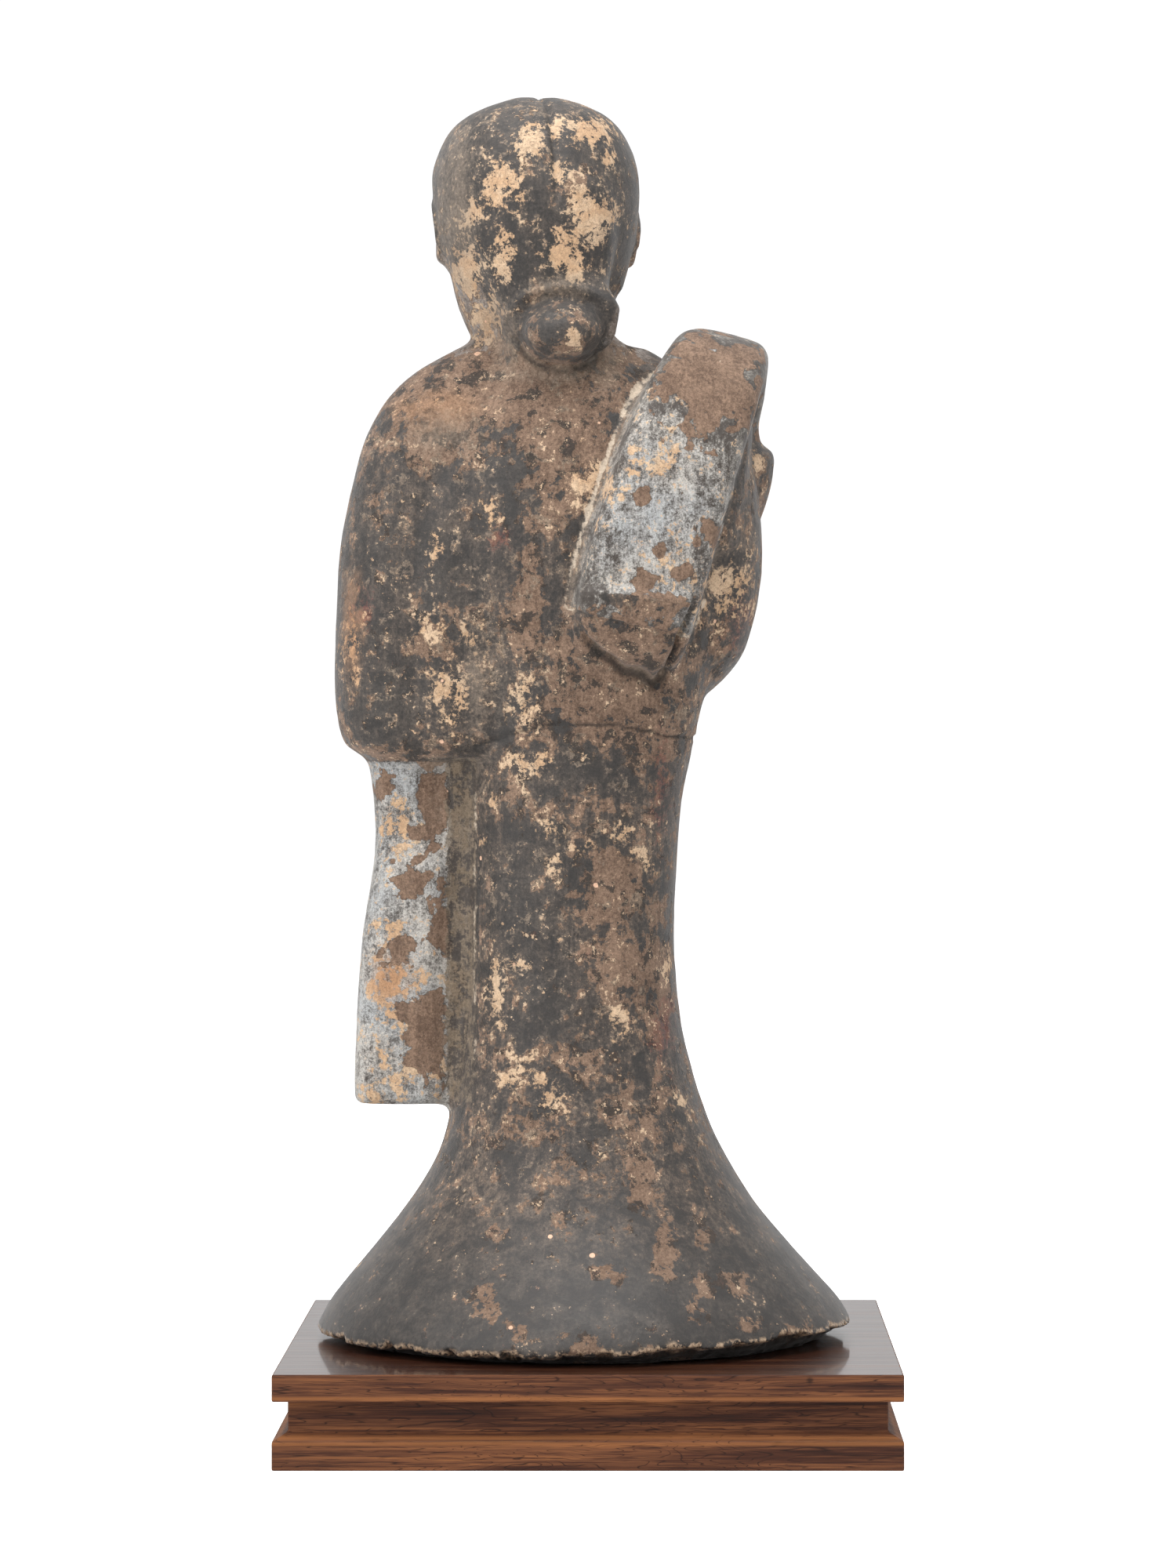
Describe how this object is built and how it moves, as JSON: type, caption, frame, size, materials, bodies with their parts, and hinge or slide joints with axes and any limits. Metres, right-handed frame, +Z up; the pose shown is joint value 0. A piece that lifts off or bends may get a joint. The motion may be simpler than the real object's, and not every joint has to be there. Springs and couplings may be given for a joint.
{
  "type": "pottery court lady figure on a wooden stand",
  "caption": "Standing painted-pottery lady in a flared robe, a long sleeve thrown back over her raised shoulder, on a square stepped hardwood stand.",
  "frame": {"origin": "middle of the stand's underside, on the surface it stands on", "axes": "+Z is up, the lady faces -Y, and +X is towards her left hand"},
  "size_m": [0.25, 0.25, 0.5583],
  "materials": {
    "painted_pottery": "unglazed grey and brown slip, flaked to bare buff clay, matte",
    "polished_hardwood": "dark red-brown hardwood, polished to a low gloss"
  },
  "bodies": {
    "root": {"court_lady": "painted_pottery", "wooden_stand": "polished_hardwood"}
  },
  "joints": []
}
